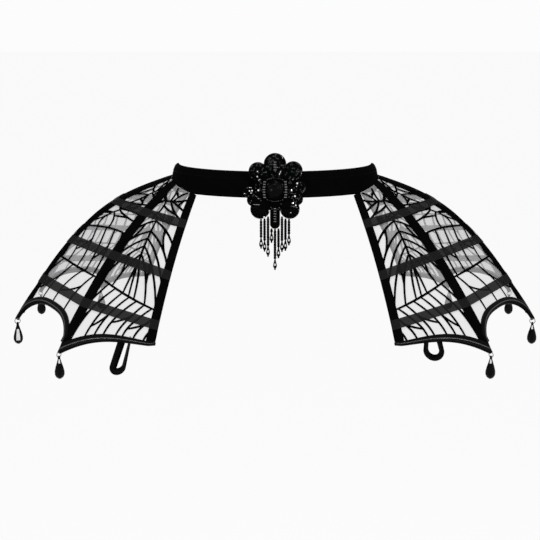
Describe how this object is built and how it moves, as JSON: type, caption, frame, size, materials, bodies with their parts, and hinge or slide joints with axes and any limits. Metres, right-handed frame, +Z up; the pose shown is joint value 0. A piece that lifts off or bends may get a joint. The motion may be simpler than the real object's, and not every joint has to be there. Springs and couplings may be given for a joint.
{
  "type": "pannier belt",
  "caption": "Velvet waist belt with a beaded rosette and fringe at the front and a sheer ribbed hip wing at each side, with a scalloped bound hem and hanging drops.",
  "frame": {"origin": "middle of the waist opening, at half the belt's height", "axes": "+X to the wearer's left wing as seen from the front on the right, -Y to the front, +Z up"},
  "size_m": [0.6538, 0.3829, 0.2578],
  "materials": {
    "velvet": "black velvet",
    "sheer": "pale sheer organza",
    "satin": "black satin bias tape",
    "ribbon": "black satin ribbon",
    "hoop_band": "dark grey translucent tape",
    "lace": "raised black flock",
    "felt": "black felt",
    "petal_beads": "glossy black seed beads",
    "bugle_beads": "glossy black bugle beads",
    "stone": "polished black stone",
    "fringe_beads": "glossy black beads",
    "jet_drop": "faceted black drop",
    "ring_metal": "silver-grey wire",
    "closure_metal": "plain steel hook and eye"
  },
  "bodies": {
    "belt": {"waist_belt": "velvet", "back_hooks": "closure_metal", "back_eyes": "closure_metal", "rosette_backing": "felt", "rosette_petals": "petal_beads", "rosette_frame": "bugle_beads", "rosette_stone": "stone", "left_front_edge_rib": "velvet", "left_front_rib": "velvet", "left_side_front_rib": "velvet", "left_side_back_rib": "velvet", "left_back_rib": "velvet", "left_back_edge_rib": "velvet", "left_front_gore": "sheer", "left_side_front_gore": "sheer", "left_side_gore": "sheer", "left_side_back_gore": "sheer", "left_back_gore": "sheer", "left_upper_band": "hoop_band", "left_middle_band": "hoop_band", "left_lower_band": "hoop_band", "left_hem_binding": "satin", "left_vein_lace": "lace", "left_ribbon_loop": "ribbon", "left_jump_rings": "ring_metal", "right_front_edge_rib": "velvet", "right_front_rib": "velvet", "right_side_front_rib": "velvet", "right_side_back_rib": "velvet", "right_back_rib": "velvet", "right_back_edge_rib": "velvet", "right_front_gore": "sheer", "right_side_front_gore": "sheer", "right_side_gore": "sheer", "right_side_back_gore": "sheer", "right_back_gore": "sheer", "right_upper_band": "hoop_band", "right_middle_band": "hoop_band", "right_lower_band": "hoop_band", "right_hem_binding": "satin", "right_vein_lace": "lace", "right_ribbon_loop": "ribbon", "right_jump_rings": "ring_metal"},
    "left_front_drop": {"left_front_drop": "jet_drop"},
    "left_side_front_drop": {"left_side_front_drop": "jet_drop"},
    "left_side_back_drop": {"left_side_back_drop": "jet_drop"},
    "left_back_drop": {"left_back_drop": "jet_drop"},
    "right_front_drop": {"right_front_drop": "jet_drop"},
    "right_side_front_drop": {"right_side_front_drop": "jet_drop"},
    "right_side_back_drop": {"right_side_back_drop": "jet_drop"},
    "right_back_drop": {"right_back_drop": "jet_drop"},
    "fringe_strand_1": {"fringe_strand_1": "fringe_beads"},
    "fringe_strand_2": {"fringe_strand_2": "fringe_beads"},
    "fringe_strand_3": {"fringe_strand_3": "fringe_beads"},
    "fringe_strand_4": {"fringe_strand_4": "fringe_beads"},
    "fringe_strand_5": {"fringe_strand_5": "fringe_beads"},
    "fringe_strand_6": {"fringe_strand_6": "fringe_beads"},
    "fringe_strand_7": {"fringe_strand_7": "fringe_beads"},
    "fringe_strand_8": {"fringe_strand_8": "fringe_beads"},
    "fringe_strand_9": {"fringe_strand_9": "fringe_beads"}
  },
  "joints": [
    {"name": "left_front_drop_swing", "type": "hinge", "parent": "belt", "child": "left_front_drop", "pos_m": [-0.253, -0.17, -0.19262], "axis": [-0.5924, -0.8057, 0], "range_deg": [-60, 60]},
    {"name": "left_side_front_drop_swing", "type": "hinge", "parent": "belt", "child": "left_side_front_drop", "pos_m": [-0.321, -0.075, -0.17662], "axis": [-0.9321, -0.3622, 0], "range_deg": [-60, 60]},
    {"name": "left_side_back_drop_swing", "type": "hinge", "parent": "belt", "child": "left_side_back_drop", "pos_m": [-0.321, 0.075, -0.17662], "axis": [-0.9321, 0.3622, 0], "range_deg": [-60, 60]},
    {"name": "left_back_drop_swing", "type": "hinge", "parent": "belt", "child": "left_back_drop", "pos_m": [-0.253, 0.17, -0.19262], "axis": [-0.5924, 0.8057, 0], "range_deg": [-60, 60]},
    {"name": "right_front_drop_swing", "type": "hinge", "parent": "belt", "child": "right_front_drop", "pos_m": [0.253, -0.17, -0.19262], "axis": [0.5924, -0.8057, 0], "range_deg": [-60, 60]},
    {"name": "right_side_front_drop_swing", "type": "hinge", "parent": "belt", "child": "right_side_front_drop", "pos_m": [0.321, -0.075, -0.17662], "axis": [0.9321, -0.3622, 0], "range_deg": [-60, 60]},
    {"name": "right_side_back_drop_swing", "type": "hinge", "parent": "belt", "child": "right_side_back_drop", "pos_m": [0.321, 0.075, -0.17662], "axis": [0.9321, 0.3622, 0], "range_deg": [-60, 60]},
    {"name": "right_back_drop_swing", "type": "hinge", "parent": "belt", "child": "right_back_drop", "pos_m": [0.253, 0.17, -0.19262], "axis": [0.5924, 0.8057, 0], "range_deg": [-60, 60]},
    {"name": "fringe_strand_1_swing", "type": "hinge", "parent": "belt", "child": "fringe_strand_1", "pos_m": [-0.0168, -0.09881, -0.04183], "axis": [1, 0, 0], "range_deg": [-40, 40]},
    {"name": "fringe_strand_2_swing", "type": "hinge", "parent": "belt", "child": "fringe_strand_2", "pos_m": [-0.0126, -0.09881, -0.04124], "axis": [1, 0, 0], "range_deg": [-40, 40]},
    {"name": "fringe_strand_3_swing", "type": "hinge", "parent": "belt", "child": "fringe_strand_3", "pos_m": [-0.0084, -0.09881, -0.0388], "axis": [1, 0, 0], "range_deg": [-40, 40]},
    {"name": "fringe_strand_4_swing", "type": "hinge", "parent": "belt", "child": "fringe_strand_4", "pos_m": [-0.0042, -0.09881, -0.05346], "axis": [1, 0, 0], "range_deg": [-40, 40]},
    {"name": "fringe_strand_5_swing", "type": "hinge", "parent": "belt", "child": "fringe_strand_5", "pos_m": [0, -0.09881, -0.05407], "axis": [1, 0, 0], "range_deg": [-40, 40]},
    {"name": "fringe_strand_6_swing", "type": "hinge", "parent": "belt", "child": "fringe_strand_6", "pos_m": [0.0042, -0.09881, -0.05346], "axis": [1, 0, 0], "range_deg": [-40, 40]},
    {"name": "fringe_strand_7_swing", "type": "hinge", "parent": "belt", "child": "fringe_strand_7", "pos_m": [0.0084, -0.09881, -0.0388], "axis": [1, 0, 0], "range_deg": [-40, 40]},
    {"name": "fringe_strand_8_swing", "type": "hinge", "parent": "belt", "child": "fringe_strand_8", "pos_m": [0.0126, -0.09881, -0.04124], "axis": [1, 0, 0], "range_deg": [-40, 40]},
    {"name": "fringe_strand_9_swing", "type": "hinge", "parent": "belt", "child": "fringe_strand_9", "pos_m": [0.0168, -0.09881, -0.04183], "axis": [1, 0, 0], "range_deg": [-40, 40]}
  ]
}
